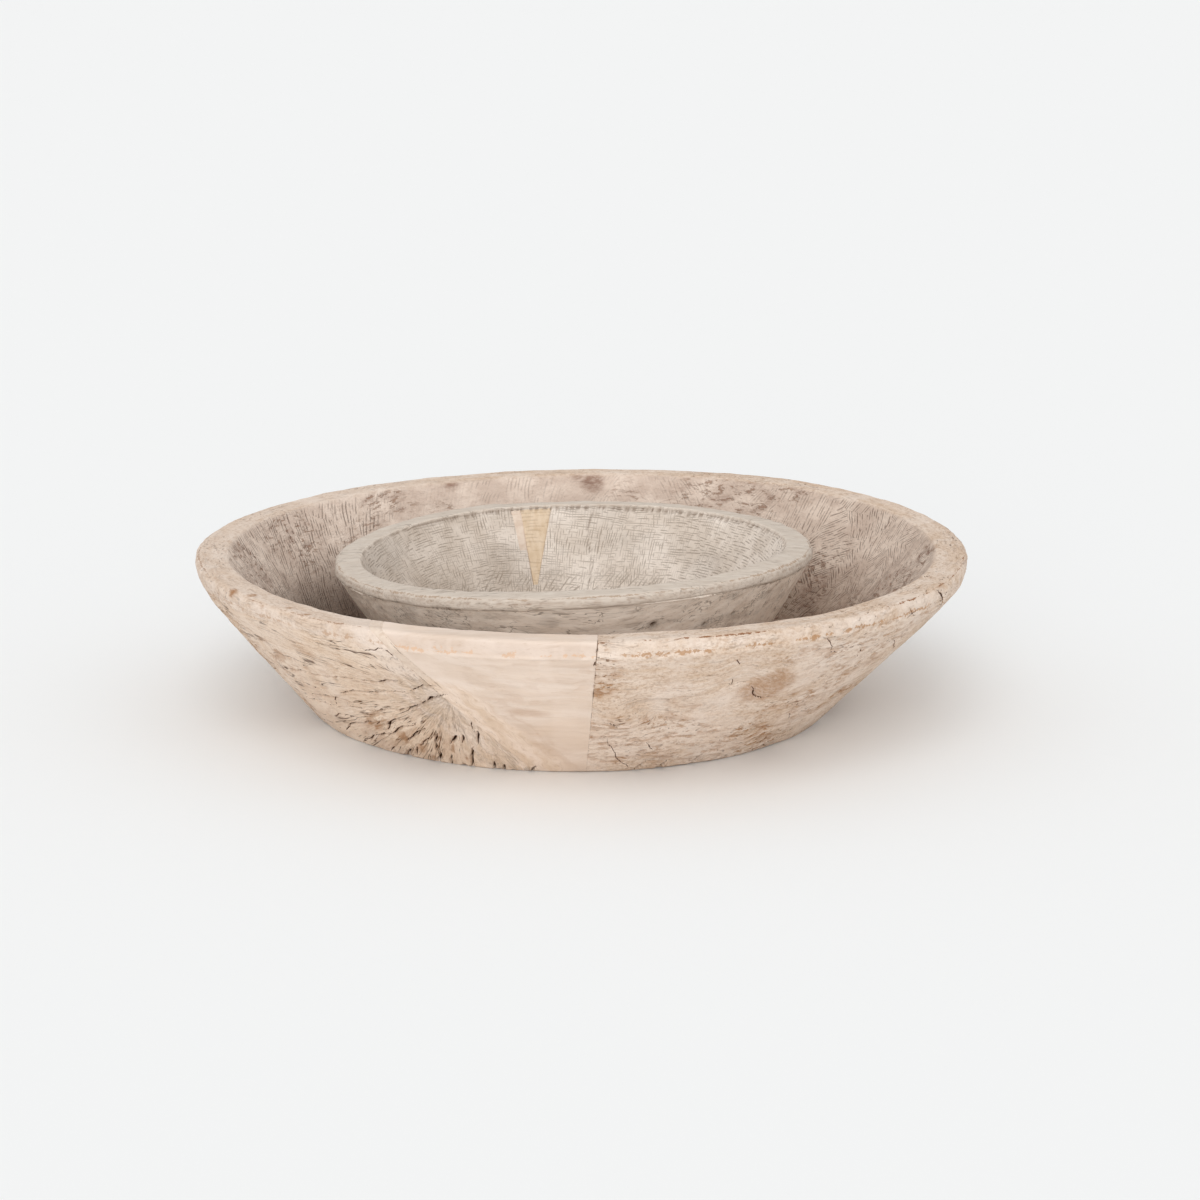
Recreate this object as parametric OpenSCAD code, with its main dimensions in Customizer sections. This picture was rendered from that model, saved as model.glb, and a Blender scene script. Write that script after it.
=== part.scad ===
// A pair of hand-carved wooden dough bowls, the small one standing loose inside the large one.
// Origin: on the table under the centre of the large rim. +Z is up, the front faces -Y, sizes in mm.

/* [Large bowl] */
// Outside diameter over the rim band
large_rim_d = 560; // [520:1:620]
// Height from the table to the rim
large_h = 112; // [100:1:126]
// Diameter of the flat base
large_base_d = 376; // [330:1:410]
// How far the base sits to the left of the rim's centre
large_base_shift = 10; // [0:0.5:16]
// Rounding of the edge between the base and the wall
large_base_edge = 3; // [1:0.5:6]
// Width of the flat land on top of the rim
large_land = 19; // [14:0.5:24]
// Height of the band that runs round below the land
large_band_h = 13; // [9:0.5:18]
// How far the band stands out from the wall below it
large_band_step = 2; // [1:0.5:4]
// Rounding of the band's upper edge
large_band_round = 4; // [2:0.5:7]
// Rounding of the land's inner edge
large_lip_round = 2; // [1:0.5:4]
// Thickness of the floor
large_floor = 22; // [16:0.5:28]
// Thickness of the wall at the floor, measured level
large_wall = 30; // [24:0.5:36]
// Radius where the inside wall turns into the floor
large_floor_round = 45; // [20:1:60]

/* [Small bowl] */
// Outside diameter over the rim band
small_rim_d = 343; // [320:1:370]
// Height from its base to its rim
small_h = 91; // [82:0.5:100]
// Diameter of the flat base
small_base_d = 242; // [215:1:265]
// How far the base sits to the left of the rim's centre
small_base_shift = 0; // [-6:0.5:6]
// Rounding of the edge between the base and the wall
small_base_edge = 3; // [1:0.5:6]
// Width of the flat land on top of the rim
small_land = 15; // [11:0.5:19]
// Height of the band that runs round below the land
small_band_h = 9; // [6:0.5:13]
// How far the band stands out from the wall below it
small_band_step = 1.5; // [0.5:0.5:3]
// Rounding of the band's upper edge
small_band_round = 3.5; // [2:0.5:5]
// Rounding of the land's inner edge
small_lip_round = 2; // [1:0.5:4]
// Thickness of the floor
small_floor = 18; // [14:0.5:24]
// Thickness of the wall at the floor, measured level
small_wall = 22; // [18:0.5:27]
// Radius where the inside wall turns into the floor
small_floor_round = 30; // [15:1:40]
// How far the small bowl stands to the left of the large rim's centre
small_set_left = 8; // [0:0.5:14]

/* [Large bowl repair] */
// Left seam of the patch at the rim, to the left of the rim's centre
patch_left_top = 134; // [110:1:150]
// Left seam of the patch at the table
patch_left_foot = 30; // [20:1:60]
// Right seam of the patch at the rim, to the right of the rim's centre
patch_right_top = 8.5; // [4:0.5:20]
// Right seam of the patch at the table
patch_right_foot = 1; // [-5:0.5:10]
// How far the patch reaches in from the edge of the base
patch_foot_depth = 12; // [6:0.5:20]
// Width of the filled gap beside the patch at the rim
patch_gap_top = 9; // [6:0.5:14]
// Width of the filled gap beside the patch at the table
patch_gap_foot = 3; // [2:0.5:6]

/* [Small bowl repair] */
// Left edge of the wedge at its top, to the left of the small rim's centre
wedge_left = 40; // [32:0.5:50]
// Width of the wedge at its top
wedge_w = 22.5; // [16:0.5:30]
// Width of the wedge at its tip
wedge_tip_w = 3; // [2:0.5:6]
// Height of the wedge's tip above the small bowl's base
wedge_tip_z = 35; // [33:0.5:50]
// Depth of the wedge into the wall, measured level
wedge_depth = 9; // [6:0.5:12]
// Distance from the rim down to the top of the wedge
wedge_below_rim = 4; // [3:0.5:8]
// Width of the filled gap beside the wedge at its top
wedge_gap_w = 7; // [4:0.5:10]
// Width of the filled gap at its lower end
wedge_gap_tip_w = 1.5; // [1:0.5:3]
// Height of the lower end of the filled gap above the small bowl's base
wedge_gap_z = 60; // [50:1:75]
// Depth of the filled gap into the wall, measured level
wedge_gap_depth = 6; // [4:0.5:9]

/* [Fit] */
// Glue line left between a repair and the bowl
glue_line = 0.2; // [0.1:0.05:0.4]

/* [Hidden] */
// Flat faces round each bowl, and along the arcs of its profile
facets = 80;
band_steps = 4;
lip_steps = 2;
floor_steps = 6;
// How far a cut runs past the wood
overrun = 2;
large_rim_r = large_rim_d / 2;
small_rim_r = small_rim_d / 2;
// Seams of the patch and of the filled gap on its left, each [x at the table, x at the rim]
patch_right = [patch_right_foot, patch_right_top];
patch_left = [-patch_left_foot, -patch_left_top];
patch_gap_left = patch_left - [patch_gap_foot, patch_gap_top];
glue = [glue_line, glue_line];
// Top of the wedge, the left end of its tip, and its left edge at the lower end of the filled gap
wedge_top_z = small_h - wedge_below_rim;
wedge_tip_left = wedge_left - (wedge_w - wedge_tip_w) / 2;
wedge_gap_right = along(-wedge_tip_left, -wedge_left, wedge_gap_z - wedge_tip_z, wedge_top_z - wedge_tip_z);

// Points [radius, height] along an arc about a centre, from one angle to another
function arc(centre, radius, from, to, steps) =
    [for (i = [0 : steps]) let (a = from + (to - from) * i / steps) centre + radius * [cos(a), sin(a)]];

// Value at height z on a straight line that has one value at the foot and another at the top
function along(foot, top, z, h) = foot + (top - foot) * z / h;

// Outside of a bowl: the base's edge, the wall, the rim band and the land, as [radius, height]
function outside(rim_r, h, base_r, edge, land, band_h, step, band_round, lip) =
    let (wall_top = h - band_h, land_in = rim_r - band_round - land)
    concat(
        [[base_r - edge, 0], [along(base_r, rim_r - step, edge, wall_top), edge]],
        [[rim_r - step, wall_top], [rim_r, wall_top]],
        arc([rim_r - band_round, h - band_round], band_round, 0, 90, band_steps),
        arc([land_in + lip, h - lip], lip, 90, 180, lip_steps)
    );

// Inside of a bowl: the wall from the lip down and the rounded turn into the floor, as [radius, height]
function inside(lip_r, lip_z, foot_r, floor_z, floor_round) =
    let (slope = atan2(lip_z - floor_z, lip_r - foot_r), flat_r = foot_r - floor_round * tan(slope / 2))
    arc([flat_r, floor_z + floor_round], floor_round, slope - 90, -90, floor_steps);

// Rings [radius, height, shift] from a profile, leaning so that the base lies to the left of the rim
function lean(profile, base_shift, wall_top) =
    [for (p = profile) [p[0], p[1], base_shift * max(0, 1 - p[1] / wall_top)]];

function large_outside() = outside(large_rim_r, large_h, large_base_d / 2, large_base_edge, large_land,
    large_band_h, large_band_step, large_band_round, large_lip_round);

function large_inside() = inside(large_rim_r - large_band_round - large_land, large_h - large_lip_round,
    along(large_base_d / 2, large_rim_r - large_band_step, large_floor, large_h - large_band_h) - large_wall,
    large_floor, large_floor_round);

function small_outside() = outside(small_rim_r, small_h, small_base_d / 2, small_base_edge, small_land,
    small_band_h, small_band_step, small_band_round, small_lip_round);

function small_inside() = inside(small_rim_r - small_band_round - small_land, small_h - small_lip_round,
    along(small_base_d / 2, small_rim_r - small_band_step, small_floor, small_h - small_band_h) - small_wall,
    small_floor, small_floor_round);

// Solid skinned over rings [radius, height, shift], closed flat across the first and the last
module carved(rings) {
    last = len(rings) - 1;
    points = [for (r = rings, i = [0 : facets - 1]) let (a = 360 * i / facets)
        [r[0] * cos(a) - r[2], r[0] * sin(a), r[1]]];
    skin = [for (k = [0 : last - 1], i = [0 : facets - 1]) let (j = (i + 1) % facets)
        [k * facets + i, (k + 1) * facets + i, (k + 1) * facets + j, k * facets + j]];
    first_cap = [for (i = [0 : facets - 1]) i];
    last_cap = [for (i = [0 : facets - 1]) (last + 1) * facets - 1 - i];
    polyhedron(points, concat([first_cap], skin, [last_cap]));
}

// Block that runs along Y, with a left and a right side that each lean from [x, z] to [x, z]
module wall_block(left_foot, left_top, right_foot, right_top, front_y, back_y) {
    translate([0, back_y, 0])
        rotate([90, 0, 0])
            linear_extrude(back_y - front_y)
                polygon([left_foot, right_foot, right_top, left_top]);
}

module large_form() {
    carved(lean(concat(large_outside(), large_inside()), large_base_shift, large_h - large_band_h));
}

// Block through the large bowl's front wall between two seams, each [x at the table, x at the rim]
module patch_block(left, right, inset) {
    low = -overrun;
    high = large_h + overrun;
    wall_block(
        [along(left[0], left[1], low, large_h), low], [along(left[0], left[1], high, large_h), high],
        [along(right[0], right[1], low, large_h), low], [along(right[0], right[1], high, large_h), high],
        -large_rim_r - overrun, patch_foot_depth - large_base_d / 2 - inset);
}

module large_bowl() {
    color([0.80, 0.71, 0.62])
        difference() {
            large_form();
            patch_block(patch_gap_left, patch_right, 0);
        }
}

module large_bowl_patch() {
    color([0.88, 0.80, 0.72])
        intersection() {
            large_form();
            patch_block(patch_left + glue, patch_right - glue, glue_line);
        }
}

module large_bowl_filler() {
    color([0.90, 0.87, 0.82])
        intersection() {
            large_form();
            patch_block(patch_gap_left + glue, patch_left, glue_line);
        }
}

module small_form() {
    carved(lean(concat(small_outside(), small_inside()), small_base_shift, small_h - small_band_h));
}

// The small bowl's hollow, grown into the wall and run past the rim
module small_hollow(grow) {
    profile = small_inside();
    count = len(profile);
    upward = [for (i = [1 : count]) profile[count - i] + [grow, 0]];
    lip_r = small_rim_r - small_band_round - small_land;
    mouth = [[lip_r + grow, small_h - small_lip_round], [lip_r + grow, small_h + overrun]];
    carved(lean(concat(upward, mouth), small_base_shift, small_h - small_band_h));
}

// Tapered block that reaches a set depth into the small bowl's back wall from inside
module wedge_block(left_tip, left_top, right_tip, right_top, tip_z, depth) {
    intersection() {
        wall_block([left_tip, tip_z], [left_top, wedge_top_z], [right_tip, tip_z], [right_top, wedge_top_z],
            0, small_rim_r);
        small_hollow(depth);
    }
}

// The wedge's pocket, or the wedge itself when it is drawn in by the glue line
module wedge_shape(inset) {
    wedge_block(-wedge_tip_left + inset, -wedge_left + inset, -wedge_tip_left + wedge_tip_w - inset,
        -wedge_left + wedge_w - inset, wedge_tip_z + inset, wedge_depth - inset);
}

// The filled gap on the wedge's left, opening into the wedge's pocket by a lap, or the filler itself
// when it is drawn in by the glue line and has no lap
module gap_shape(inset, lap) {
    wedge_block(wedge_gap_right - wedge_gap_tip_w + inset, -wedge_left - wedge_gap_w + inset,
        wedge_gap_right + lap, -wedge_left + lap, wedge_gap_z + inset, wedge_gap_depth - inset);
}

module small_bowl() {
    color([0.72, 0.67, 0.59])
        translate([-small_set_left, 0, large_floor])
            difference() {
                small_form();
                wedge_shape(0);
                gap_shape(0, wedge_tip_w / 2);
            }
}

module small_bowl_wedge() {
    color([0.86, 0.75, 0.58])
        translate([-small_set_left, 0, large_floor])
            difference() {
                wedge_shape(glue_line);
                small_hollow(0);
            }
}

module small_bowl_filler() {
    color([0.88, 0.84, 0.76])
        translate([-small_set_left, 0, large_floor])
            difference() {
                gap_shape(glue_line, 0);
                small_hollow(0);
            }
}

large_bowl();
large_bowl_patch();
large_bowl_filler();
small_bowl();
small_bowl_wedge();
small_bowl_filler();
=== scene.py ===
import bpy
import numpy as np
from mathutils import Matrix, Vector


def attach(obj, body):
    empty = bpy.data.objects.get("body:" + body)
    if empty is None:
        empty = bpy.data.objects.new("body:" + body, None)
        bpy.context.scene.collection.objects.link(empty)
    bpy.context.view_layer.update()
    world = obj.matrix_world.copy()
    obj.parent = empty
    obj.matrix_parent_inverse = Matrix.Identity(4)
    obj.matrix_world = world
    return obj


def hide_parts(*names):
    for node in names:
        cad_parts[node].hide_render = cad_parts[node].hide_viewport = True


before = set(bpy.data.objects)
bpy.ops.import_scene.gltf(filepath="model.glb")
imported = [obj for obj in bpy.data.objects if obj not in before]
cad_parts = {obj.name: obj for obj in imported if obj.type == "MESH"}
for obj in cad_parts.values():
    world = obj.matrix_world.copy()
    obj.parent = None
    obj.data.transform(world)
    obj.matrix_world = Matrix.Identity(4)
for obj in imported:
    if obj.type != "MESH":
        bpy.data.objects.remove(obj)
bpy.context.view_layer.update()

# Large bowl
# A thick, shallow, round bowl chopped and scraped by hand out of one block of bleached hardwood.
# Its foot sits a little left of its rim, a worn band runs round the rim, and the outside has dried
# and split. The front wall is cut right through for a patch, which is glued in with putty beside it.
coarse = 1.0
large_height = 0.112
large_wall_top = 0.099
large_foot_lean = 0.010
large_foot_radius = 0.188
large_rim_radius = 0.280
large_floor = 0.022
large_section = [
    (0.0, 0.0, 0.0, 0.0),
    (0.176, 0.0, 0.0, 0.008),
    (large_foot_radius, 0.0, 0.006, 0.0012),
    (0.2792, large_wall_top, 0.0015, 0.0010),
    (large_rim_radius, large_wall_top + 0.001, 0.0028, 0.0004),
    (large_rim_radius, large_height, 0.0055, 0.0008),
    (0.257, large_height, 0.0045, 0.0012),
    (0.178, large_floor, 0.045, 0.0016),
    (0.0, large_floor, 0.0, 0.006),
]


def ease(low, high, value):
    """0 at low, 1 at high and a smooth cubic step between them."""
    part = np.clip((value - low) / (high - low), 0.0, 1.0)
    return part * part * (3.0 - 2.0 * part)


def speckle(x, y, z, seed):
    """Smooth random values from 0 to 1. Each place blends the hashed values of the eight corners of
    its unit cell, weighted by a quintic step along each side."""
    sides = np.broadcast_arrays(x, y, z)
    cells = [np.floor(side).astype(np.int64) for side in sides]
    parts = [side - cell for side, cell in zip(sides, cells)]
    steps = [part ** 3 * (part * (part * 6.0 - 15.0) + 10.0) for part in parts]
    total = np.zeros(sides[0].shape)
    for corner in range(8):
        bits = [corner & 1, corner >> 1 & 1, corner >> 2]
        mixed = (cells[0] + bits[0]) * 374761393 + (cells[1] + bits[1]) * 668265263
        mixed = mixed + (cells[2] + bits[2]) * 362437 + seed * 974711
        mixed = (mixed ^ (mixed >> 13)) * 1274126177
        value = ((mixed ^ (mixed >> 16)) & 65535) / 65535.0
        for bit, step in zip(bits, steps):
            value = value * (step if bit else 1.0 - step)
        total = total + value
    return total


def clouds(x, y, z, seed, layers=3):
    """Layers of speckle, each twice as fine and half as strong as the one before, from 0 to 1."""
    total = 0.0
    for layer in range(layers):
        fine = 2 ** layer
        total = total + speckle(x * fine, y * fine, z * fine, seed + layer) / (2 * fine)
    return total / (1.0 - 0.5 ** layers)


def lumps(places, size, seed, layers=3):
    """Clouds over a grid of places, with grains of one size, or of one size along each axis."""
    x, y, z = np.moveaxis(places / np.array(size), 2, 0)
    return clouds(x, y, z, seed, layers)


def round_rim(angle, often, across, seed, layers=3):
    """Clouds round a rim: they follow a circle of the given radius, and a second measure across it."""
    return clouds(np.cos(angle) * often, np.sin(angle) * often, across, seed, layers)


def half_section(corners):
    """The line of a bowl's wall from the middle of its foot, up the outside, over the rim and down to
    the middle of its floor. Each corner (radius, height, rounding, gap) is an arc of that rounding, and
    the straight run that leads to it has points about every gap. Returns the radius and height of each
    point, its outward normal, its length along the line, and the length at every corner."""
    arc_gap = 0.0008
    spots = np.array([corner[:2] for corner in corners])
    ways = np.diff(spots, axis=0)
    ways = ways / np.linalg.norm(ways, axis=1)[:, None]
    runs = []
    middles = [0]
    start = spots[0]
    for k in range(1, len(corners)):
        rounding = corners[k][2]
        turn = 0.0
        if k < len(corners) - 1:
            across = ways[k - 1][0] * ways[k][1] - ways[k - 1][1] * ways[k][0]
            turn = np.arctan2(across, ways[k - 1] @ ways[k])
        stop = spots[k] - ways[k - 1] * rounding * np.tan(abs(turn) / 2.0)
        count = max(2, int(np.linalg.norm(stop - start) / (corners[k][3] * coarse)) + 1)
        runs.append(start + (stop - start) * np.linspace(0.0, 1.0, count, endpoint=False)[:, None])
        start = stop
        count = int(min(24, max(4, abs(turn) * rounding / arc_gap))) if rounding else 0
        middles.append(sum(map(len, runs)) + count // 2)
        if count:
            side = np.sign(turn) * np.array([-ways[k - 1][1], ways[k - 1][0]])
            centre = stop + side * rounding
            bend = np.linspace(0.0, turn, count, endpoint=False)[:, None]
            arm = stop - centre
            turned = np.array([-arm[1], arm[0]])
            runs.append(centre + arm * np.cos(bend) + turned * np.sin(bend))
            start = centre + arm * np.cos(turn) + turned * np.sin(turn)
    line = np.concatenate(runs + [spots[-1:]])
    length = np.concatenate([[0.0], np.cumsum(np.linalg.norm(np.diff(line, axis=0), axis=1))])
    tangent = np.gradient(line, axis=0)
    tangent = tangent / np.linalg.norm(tangent, axis=1)[:, None]
    normal = np.stack([tangent[:, 1], -tangent[:, 0]], axis=1)
    return line[:, 0], line[:, 1], normal, length, length[middles]


def between(first, last, spacing, radius):
    """Fractions from first to last angle whose gaps follow spacing(angle), in metres at that radius:
    the summed density of points is turned round into even steps."""
    part = np.linspace(0.0, 1.0, 2000)
    dense = radius * (last - first) / (spacing(first + (last - first) * part) * coarse)
    summed = np.concatenate([[0.0], np.cumsum((dense[1:] + dense[:-1]) / 2.0) / 1999.0])
    return np.interp(np.arange(int(summed[-1])) / int(summed[-1]), summed / summed[-1], part)


def revolve(radius, height, normal, angle, centre):
    """Places and normals of a turned surface: the section's radius swung to each angle round a centre
    line that moves along X with height."""
    flat = [np.cos(angle), np.sin(angle)]
    rise = np.broadcast_to(height[:, None], angle.shape)
    places = np.stack([centre[:, None] + radius * flat[0], radius * flat[1], rise], axis=2)
    tilt = np.broadcast_to(normal[:, 1:2], angle.shape)
    facing = np.stack([normal[:, :1] * flat[0], normal[:, :1] * flat[1], tilt], axis=2)
    return places, facing


def near_path(places, facing, path):
    """Distance from each place to a bent line on a surface, measured in the plane that the place's normal
    stands on, the side of the line it is on (1 or -1), and how far along the line its nearest point is,
    from 0 to 1."""
    nearest = np.full(len(places), 9.0)
    side = np.ones(len(places))
    part = np.zeros(len(places))
    for k in range(len(path) - 1):
        run = path[k + 1] - path[k]
        away = places - path[k]
        share = np.clip(away @ run / (run @ run), 0.0, 1.0)
        off = away - share[:, None] * run
        gap = np.linalg.norm(off - np.sum(off * facing, axis=1)[:, None] * facing, axis=1)
        hand = np.where(np.sum(np.cross(facing, run) * away, axis=1) < 0.0, -1.0, 1.0)
        side = np.where(gap < nearest, hand, side)
        part = np.where(gap < nearest, (k + share) / (len(path) - 1), part)
        nearest = np.minimum(gap, nearest)
    return nearest, side, part


def shares(run, wall, lip, band, land, hollow):
    """Shares from 0 to 1 of a bowl's wall, of the band under its rim and of the rim's flat land, from the
    lengths along the section at which the wall, the lip, the band, the land and the hollow begin."""
    on_wall = ease(wall - 0.001, wall + 0.003, run) * ease(lip, lip - 0.002, run)
    on_band = ease(lip - 0.001, band, run) * ease(land + 0.002, land - 0.002, run)
    on_land = ease(land - 0.002, land + 0.002, run) * ease(hollow + 0.002, hollow - 0.001, run)
    return on_wall, on_band, on_land


large_r, large_z, large_normal, large_run, large_at = half_section(large_section)
large_wall, large_lip, large_band, large_land, large_hollow = large_at[2:7]
cut_low = int(np.argmin(np.abs(large_run - large_at[1])))
cut_high = int(np.argmin(np.abs(large_r - 0.179) + (large_run < large_hollow)))
large_centre = -large_foot_lean * np.clip(1.0 - large_z / large_wall_top, 0.0, 1.0)


def patch_left(height):
    """X of the patch's left edge, which slopes up to the left."""
    return -0.030 - 0.929 * height


def patch_right(height):
    """X of the patch's right edge, which is almost upright."""
    return 0.001 + 0.067 * height


def front_angle(x):
    """Angle, on the front side, at which each ring of the large bowl meets the given X."""
    return -np.arccos(np.clip((x - large_centre) / np.maximum(large_r, 0.177), -1.0, 1.0))


def large_spacing(angle):
    """Close points on the split front left wall, fewer on the right and fewest at the back."""
    degrees = np.degrees(angle)
    return 0.0024 - 0.0011 * ease(20.0, -20.0, degrees) - 0.0015 * ease(165.0, 195.0, degrees)


def out_of_round(angle):
    """Share of the plain radius that the dried bowl keeps at each angle: 0.995 less two and three waves."""
    warp = 0.006 * np.cos(2.0 * angle) + 0.0079 * np.cos(3.0 * angle) - 0.0039 * np.sin(3.0 * angle)
    return 0.995 - warp


left_seam = front_angle(patch_left(large_z))
right_seam = front_angle(patch_right(large_z))
putty_seam = front_angle(-0.033 - 0.982 * large_z)
round_part = between(-1.54, 4.16, large_spacing, 0.235)
patch_part = between(0.0, 1.0, lambda part: np.full_like(part, 0.0009), 0.125)
putty_part = np.linspace(0.0, 1.0, 6, endpoint=False)
putty_column = len(round_part)
patch_column = putty_column + len(putty_part)
full = 2.0 * np.pi
large_angle = np.concatenate([
    right_seam[:, None] + (putty_seam + full - right_seam)[:, None] * round_part,
    putty_seam[:, None] + full + (left_seam - putty_seam)[:, None] * putty_part,
    left_seam[:, None] + full + (right_seam - left_seam)[:, None] * patch_part,
], axis=1)
large_places, large_facing = revolve(
    large_r[:, None] * out_of_round(large_angle), large_z, large_normal, large_angle, large_centre)

# The carver's and the weather's marks on the large bowl, as depth along the normal and as colour marks.
x, y, z = np.moveaxis(large_places, 2, 0)
run = large_run[:, None]
degrees = (np.degrees(large_angle) + 180.0) % 360.0 - 180.0
on_wall, on_band, on_land = shares(run, large_wall, large_lip, large_band, large_land, large_hollow)
in_hollow = ease(large_hollow - 0.001, large_hollow + 0.003, run)
on_foot = ease(large_wall - 0.002, large_wall - 0.004, run)
on_floor = ease(0.165, 0.145, large_r[:, None]) * in_hollow
on_bowl = np.arange(large_angle.shape[1]) <= putty_column
outer_front = (y < 0.0) * (1.0 - in_hollow) * (1.0 - on_foot)
outer_radius = large_foot_radius + 0.9 * z
shake_reach = 0.006
shake = np.stack([lumps(large_places, 0.011, 20 + 7 * k) - 0.5 for k in range(3)], axis=2) * shake_reach
depth = 0.0024 * (lumps(large_places, 0.11, 3, 2) - 0.5)
depth = depth + 0.0010 * (lumps(large_places, 0.026, 5) - 0.5)
edge_off = run - large_band
worn_edge = 0.002 + 0.007 * ease(-112.0, -135.0, degrees) + 0.004 * ease(-75.0, -40.0, degrees) * (y < 0.0)
worn_edge = worn_edge + 0.005 * ease(-0.05, 0.10, y)
soften = 0.35 * (np.hypot(edge_off, worn_edge) - np.hypot(edge_off, 0.001))
soften = soften * np.exp(-((edge_off / 0.022) ** 2))

# Weathered places: angle, height, half width and half height.
weather = ease(0.45, 0.63, lumps(large_places, 0.055, 11))
for turn, rise, wide, tall in (
    (-76.0, 0.030, 0.045, 0.026), (-52.0, 0.012, 0.050, 0.012), (-40.0, 0.080, 0.040, 0.020),
):
    off = np.hypot(np.radians(degrees - turn) * outer_radius / wide, (z - rise) / tall)
    weather = np.maximum(weather, ease(1.1, 0.7, off + shake[..., 1] / shake_reach) * on_wall)
weather = weather * (0.35 + 0.65 * on_bowl)

# The grain runs round the wall. It swirls beside the patch's right seam, round a knot further right and under
# the rim on the left. Each swirl has an angle, height, half width and twist.
wander = 0.010 * (lumps(large_places, 0.035, 51) - 0.5)
grain_across = run + wander
grain_along = x
for turn, rise, wide, twist in (
    (-81.0, 0.054, 0.020, 1.3), (-60.0, 0.066, 0.024, -0.9), (-125.0, 0.09, 0.03, 0.5),
):
    middle_run = large_wall + rise * 1.34
    middle_x = (large_foot_radius + 0.909 * rise) * np.cos(np.radians(turn)) - 0.004
    up, right = grain_across - middle_run, grain_along - middle_x
    spin = twist * np.exp(-(up ** 2 + right ** 2) / wide ** 2) * (y < 0.0)
    grain_across = middle_run + up * np.cos(spin) - right * np.sin(spin)
    grain_along = middle_x + up * np.sin(spin) + right * np.cos(spin)

# In the front left wall it fans out from a spot beside the patch: turn and away are polar measures there.
fan_run = np.radians(degrees + 110.0) * outer_radius
fan_rise = (z - 0.064) * 1.35
fan_turn = np.arctan2(fan_rise, -fan_run)
fan_away = np.hypot(fan_run, fan_rise)
fan_side = ease(-178.0, -148.0, degrees) * ease(-90.0, -100.0, degrees) * on_bowl
in_fan = on_wall * fan_side
fan_across = large_wall + 0.086 + fan_turn * 0.09 + 0.25 * wander
large_flow = np.stack([grain_across, grain_along, y], axis=2)
fan_flow = np.stack([fan_across, np.full_like(y, -0.24), fan_away - 0.30], axis=2)
large_flow = large_flow + (fan_flow - large_flow) * (fan_side * ease(0.106, 0.072, z))[..., None]
grain = lumps(large_flow, (0.0045, 0.045, 0.045), 31)
depth = depth + on_wall * (0.0004 + 0.0008 * weather) * (grain - 0.5)
pits = ease(0.60, 0.72, lumps(large_flow, (0.005, 0.011, 0.011), 41, 2)) * weather
depth = depth - 0.0006 * pits * (1.0 - on_land) * (1.0 - on_foot)


def wall_path(from_turn, from_rise, to_turn, to_rise, sag=0.0):
    """Five points of a bowed line on the outside of the large bowl, from one angle in degrees and height in
    millimetres to another, with its middle moved up by sag."""
    part = np.linspace(0.0, 1.0, 5)
    turn = np.radians(from_turn + (to_turn - from_turn) * part)
    rise = (from_rise + (to_rise - from_rise) * part + 4.0 * sag * part * (1.0 - part)) / 1000.0
    out = np.where(rise < large_wall_top, large_foot_radius + 0.914 * rise, large_rim_radius)
    out = out * out_of_round(turn)
    lean = -large_foot_lean * np.clip(1.0 - rise / large_wall_top, 0.0, 1.0)
    return np.stack([lean + out * np.cos(turn), out * np.sin(turn), rise], axis=1)


# Splits: angle and height of both ends, sag in the middle, width. Lengths are in millimetres.
splits = [
    (-134, 39, -111, 66, -9, 1.9), (-115, 56, -113, 62, 0, 1.9), (-144, 21, -135, 28, 2, 1.0),
    (-144, 9, -131, 27, 2, 1.6), (-130, 26, -128, 30, 0, 0.8), (-129, 22, -120, 40, 2, 1.6),
    (-140, 3, -119, 37, -3, 1.6), (-124, 15, -118, 32, 0, 1.7), (-131, 3, -129, 7, 0, 1.0),
    (-127, 0, -124.5, 9, 0, 2.2), (-124, 4, -122, 11, 0, 1.2), (-121, 13, -118, 23, 0, 1.2),
    (-118, 13, -115.5, 28, 0, 1.4), (-118, 0, -117, 13, 0, 2.8), (-114, 20, -112, 28, 0, 2.0),
    (-115.5, 0, -114, 12, 0, 2.0), (-111.5, 22, -110.5, 30, 0, 2.0), (-111, 0, -109, 20, 0, 2.0),
    (-108, 22, -107.5, 34, 0, 1.4), (-108.5, 35, -108, 42, 0, 0.8), (-150, 57, -128, 67, -1, 1.6),
    (-126, 67, -118, 71, 0, 1.5), (-134, 50, -118, 63, 1, 1.5), (-117, 65, -112, 71, 1, 1.0),
    (-151, 30, -141, 34, 0, 1.4), (-137.5, 42, -138.5, 36, 0, 0.8), (-146, 37, -133, 44, 0, 1.6),
    (-147, 48, -140, 46, 0, 0.8), (-105.4, 0, -105.2, 8, 0, 1.9), (-103.6, 0, -103, 6, 0, 1.5),
    (-97.3, 0, -96.8, 6, 0, 2.2), (-84.5, 32, -78, 3, -3, 0.7), (-85, 47, -83, 43, 0, 0.7),
    (-76.3, 0, -75.3, 9, 0, 3.0), (-71.7, 0, -70.8, 8, 0, 2.6), (-64, 0, -63, 8, 0, 2.4),
    (-77, 26, -75, 19, 0, 0.7), (-67.6, 76, -67.2, 71, 0, 0.8), (-67.4, 71, -65, 71, 0, 0.9),
    (-63, 66, -58, 56, -3, 1.1), (-68.7, 94, -68, 89, 0, 1.0), (-47, 29, -49, 44, 0, 0.7),
    (-55.4, 99, -52, 88, 2, 1.0), (-52, 88, -45.5, 90, -3, 0.8), (-45, 84, -44, 76, 0, 0.9),
    (-36, 82, -29, 66, 2, 0.8), (-28.8, 114, -25.4, 96, 0, 2.6), (-38, 107, -35.5, 99, 0, 0.6),
    (-38.5, 100, -35, 104, 0, 0.6), (-118.5, 97, -117.5, 94, 0, 1.6), (-88.3, 108, -88.2, 105, 0, 1.8),
    (-88.4, 97, -88.5, 94, 0, 1.6), (-119, 98, -122, 95, 0, 0.9),
]
chance = np.random.default_rng(12)
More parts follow.
